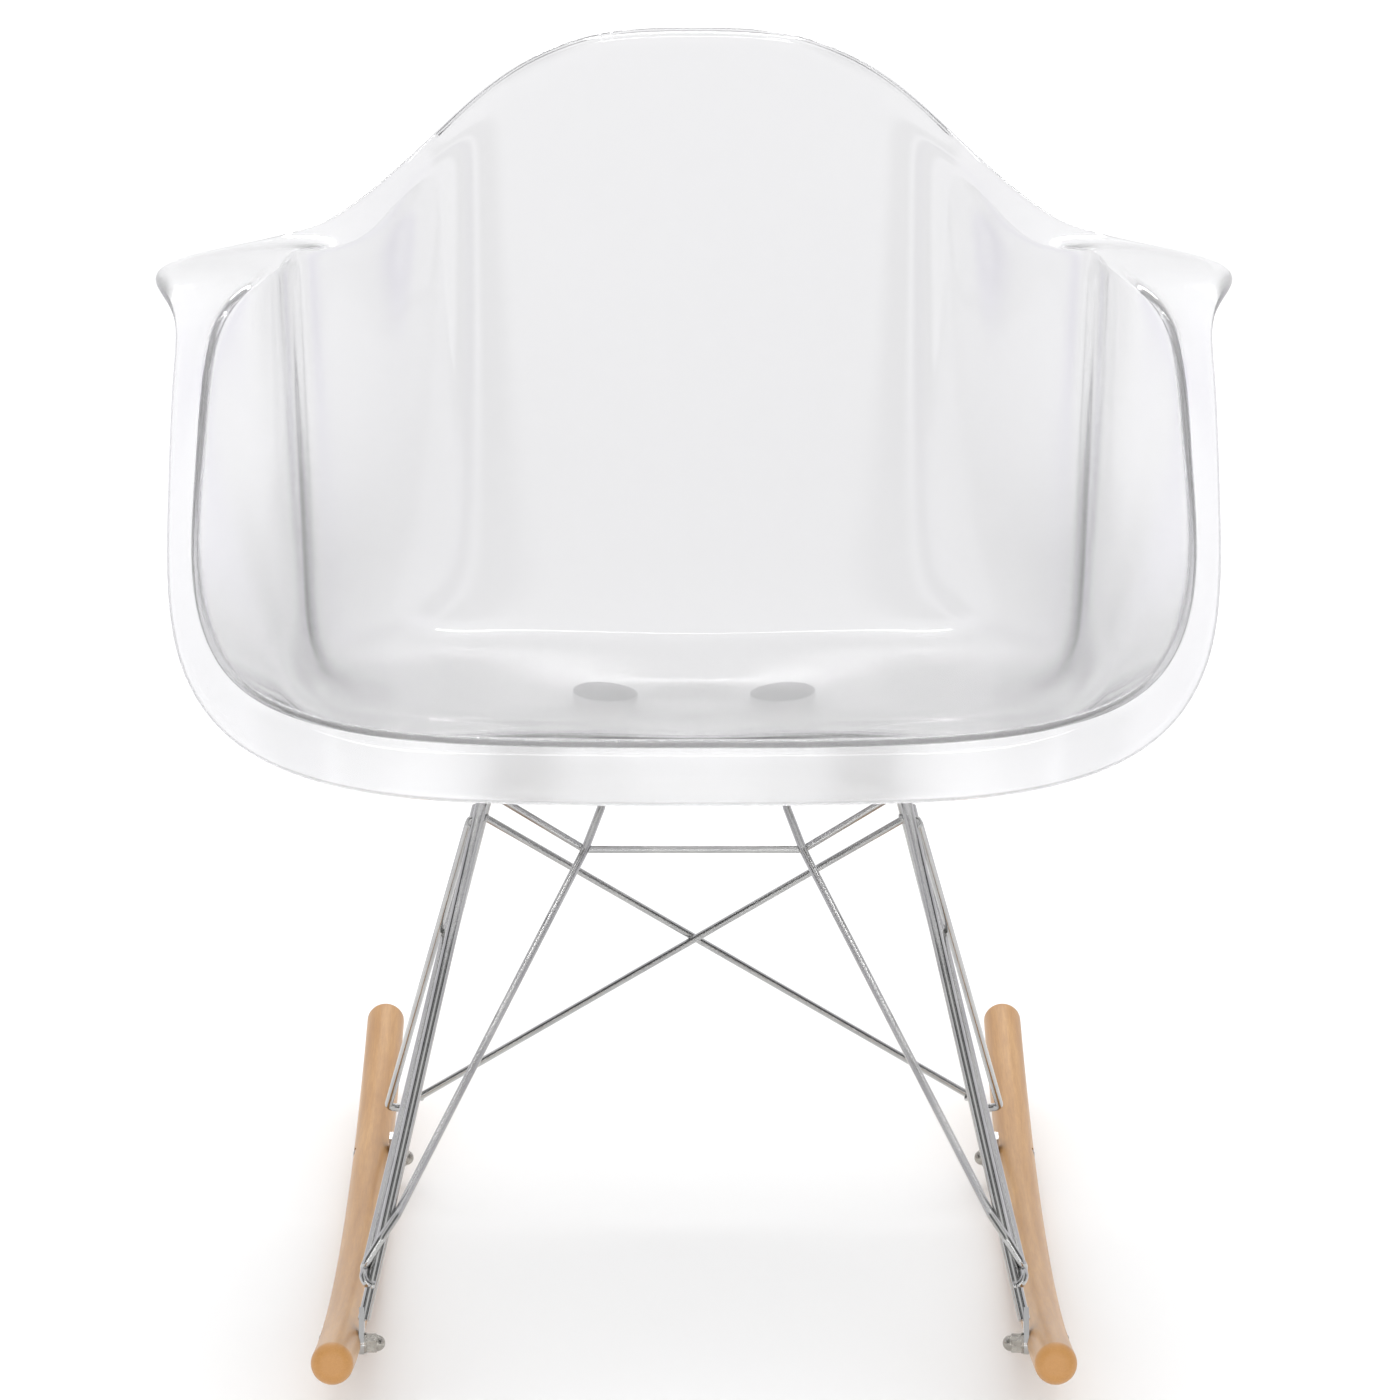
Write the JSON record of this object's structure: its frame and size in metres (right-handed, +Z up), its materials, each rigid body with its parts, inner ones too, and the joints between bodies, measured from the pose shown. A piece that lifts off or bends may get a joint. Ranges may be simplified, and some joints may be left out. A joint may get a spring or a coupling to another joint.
{
  "type": "rocking chair",
  "caption": "Rocking armchair with a clear moulded shell seat, a chromed crossed-rod base and two curved wooden rockers.",
  "frame": {"origin": "on the floor, under the middle of the two rockers, where they touch it", "axes": "+Z up; the chair faces -Y; +X is its right-hand side as seen from the front"},
  "size_m": [0.6261, 0.6872, 0.713],
  "materials": {
    "clear_shell": "clear polished polycarbonate",
    "chromed_steel": "bright chrome plate",
    "beech": "clear satin lacquer on beech",
    "mount_rubber": "pale translucent moulded rubber",
    "brass_insert": "turned brass",
    "zinc_fasteners": "bright zinc plate"
  },
  "bodies": {
    "root": {"front_cap_nut_left": "zinc_fasteners", "front_cap_nut_right": "zinc_fasteners", "front_cross_rod": "chromed_steel", "front_leg_tab_left": "chromed_steel", "front_leg_tab_right": "chromed_steel", "front_mount_plate_left": "chromed_steel", "front_mount_plate_right": "chromed_steel", "front_rocker_bolt_left": "zinc_fasteners", "front_rocker_bolt_right": "zinc_fasteners", "front_seat_screw_left": "zinc_fasteners", "front_seat_screw_right": "zinc_fasteners", "front_shock_mount_left": "mount_rubber", "front_shock_mount_right": "mount_rubber", "front_stay_rod_left": "chromed_steel", "front_stay_rod_right": "chromed_steel", "front_threaded_insert_left": "brass_insert", "front_threaded_insert_right": "brass_insert", "rear_cap_nut_left": "zinc_fasteners", "rear_cap_nut_right": "zinc_fasteners", "rear_cross_brace_left": "chromed_steel", "rear_cross_brace_right": "chromed_steel", "rear_cross_rod": "chromed_steel", "rear_leg_tab_left": "chromed_steel", "rear_leg_tab_right": "chromed_steel", "rear_mount_plate_left": "chromed_steel", "rear_mount_plate_right": "chromed_steel", "rear_rocker_bolt_left": "zinc_fasteners", "rear_rocker_bolt_right": "zinc_fasteners", "rear_seat_screw_left": "zinc_fasteners", "rear_seat_screw_right": "zinc_fasteners", "rear_shock_mount_left": "mount_rubber", "rear_shock_mount_right": "mount_rubber", "rear_spreader_rod": "chromed_steel", "rear_threaded_insert_left": "brass_insert", "rear_threaded_insert_right": "brass_insert", "rocker_inner_washers": "zinc_fasteners", "rocker_left": "beech", "rocker_outer_washers": "zinc_fasteners", "rocker_right": "beech", "seat_shell": "clear_shell", "side_brace_to_front_foot_left": "chromed_steel", "side_brace_to_front_foot_right": "chromed_steel", "side_brace_to_rear_foot_left": "chromed_steel", "side_brace_to_rear_foot_right": "chromed_steel", "side_frame_rod_left": "chromed_steel", "side_frame_rod_right": "chromed_steel"}
  },
  "joints": []
}
